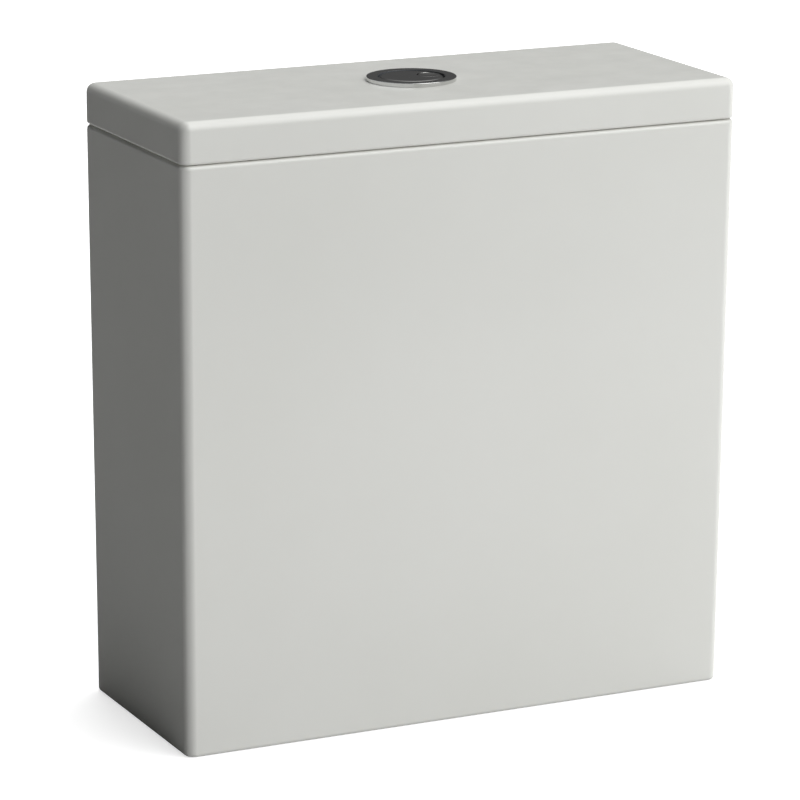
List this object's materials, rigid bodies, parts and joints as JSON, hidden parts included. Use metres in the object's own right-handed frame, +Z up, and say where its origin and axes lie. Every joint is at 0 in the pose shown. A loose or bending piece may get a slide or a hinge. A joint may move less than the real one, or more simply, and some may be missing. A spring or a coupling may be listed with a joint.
{
  "type": "toilet cistern",
  "caption": "Close-coupled ceramic toilet cistern with a flush lift-off lid, a round dual push button, a rocker-worked dual-flush valve and a float-operated fill valve.",
  "frame": {"origin": "on the base plane, under the middle of the overall box", "axes": "+X to the right seen from the front, +Y to the back, +Z up; the front faces -Y"},
  "size_m": [0.38, 0.16, 0.4026],
  "materials": {
    "glaze": "gloss white vitreous glaze",
    "bezel_chrome": "polished chrome plate",
    "button_chrome": "smoked chrome plate",
    "spring_steel": "drawn stainless wire",
    "pin_steel": "ground stainless pin",
    "white_plastic": "moulded white plastic",
    "grey_plastic": "moulded grey plastic",
    "dark_plastic": "moulded dark grey plastic",
    "blue_plastic": "moulded blue plastic",
    "green_plastic": "moulded green plastic",
    "seal_rubber": "soft red rubber",
    "black_rubber": "soft black rubber"
  },
  "bodies": {
    "cistern": {"tank": "glaze", "valve_seat": "white_plastic", "seat_gasket": "black_rubber", "outlet_backnut": "white_plastic", "valve_basket": "grey_plastic", "tower_collar": "dark_plastic", "valve_tower": "grey_plastic", "rocker_head": "white_plastic", "rocker_pin": "pin_steel", "fill_valve_body": "dark_plastic", "inlet_gasket": "black_rubber", "inlet_backnut": "white_plastic", "inlet_strainer": "white_plastic", "fill_valve_head": "dark_plastic", "diaphragm": "black_rubber", "head_cap": "white_plastic", "lever_pin": "pin_steel", "discharge_tube": "white_plastic"},
    "lid": {"lid": "glaze", "button_bezel": "bezel_chrome", "ring_nut": "grey_plastic", "lid_washer": "black_rubber", "full_spring": "spring_steel", "half_spring": "spring_steel"},
    "full_button": {"full_button": "button_chrome", "full_push_rod": "white_plastic"},
    "half_button": {"half_button": "button_chrome", "half_push_rod": "green_plastic"},
    "full_rocker": {"full_rocker": "blue_plastic"},
    "half_rocker": {"half_rocker": "green_plastic"},
    "cylinder": {"flush_cylinder": "white_plastic", "main_seal": "seal_rubber"},
    "core": {"overflow_core": "blue_plastic", "core_seal": "seal_rubber"},
    "float": {"float_cup": "blue_plastic", "float_link": "white_plastic", "link_clip": "dark_plastic"},
    "lever": {"float_lever": "grey_plastic"}
  },
  "joints": [
    {"name": "lid_lift", "type": "slide", "parent": "cistern", "child": "lid", "axis": [0, 0, 1], "range_m": [0, 0.14]},
    {"name": "full_press", "type": "slide", "parent": "lid", "child": "full_button", "axis": [0, 0, -1], "range_m": [0, 0.007], "stiffness_N_per_m": 700, "springref_m": -0.006, "deforming": ["full_spring"]},
    {"name": "half_press", "type": "slide", "parent": "lid", "child": "half_button", "axis": [0, 0, -1], "range_m": [0, 0.007], "stiffness_N_per_m": 600, "springref_m": -0.006, "deforming": ["half_spring"]},
    {"name": "full_rock", "type": "hinge", "parent": "cistern", "child": "full_rocker", "pos_m": [0, -0.009, 0.29005], "axis": [0, -1, 0], "range_deg": [0, 32.2]},
    {"name": "half_rock", "type": "hinge", "parent": "cistern", "child": "half_rocker", "pos_m": [0, 0.009, 0.29005], "axis": [0, 1, 0], "range_deg": [0, 32.2]},
    {"name": "cylinder_lift", "type": "slide", "parent": "cistern", "child": "cylinder", "axis": [0, 0, 1], "range_m": [0, 0.0126]},
    {"name": "core_lift", "type": "slide", "parent": "cylinder", "child": "core", "axis": [0, 0, 1], "range_m": [0, 0.0126]},
    {"name": "float_rise", "type": "slide", "parent": "cistern", "child": "float", "axis": [0, 0, 1], "range_m": [0, 0.016]},
    {"name": "lever_turn", "type": "hinge", "parent": "cistern", "child": "lever", "pos_m": [-0.125, 0, 0.2906], "axis": [0, -1, 0], "range_deg": [0, 24.3]}
  ],
  "couplings": [
    {"joint": "full_rock", "follows": "full_press", "rad_per_m": 80},
    {"joint": "cylinder_lift", "follows": "full_press", "ratio": 1.7896},
    {"joint": "half_rock", "follows": "half_press", "rad_per_m": 80},
    {"joint": "core_lift", "follows": "half_press", "ratio": 1.7896},
    {"joint": "lever_turn", "follows": "float_rise", "rad_per_m": 26.316}
  ]
}
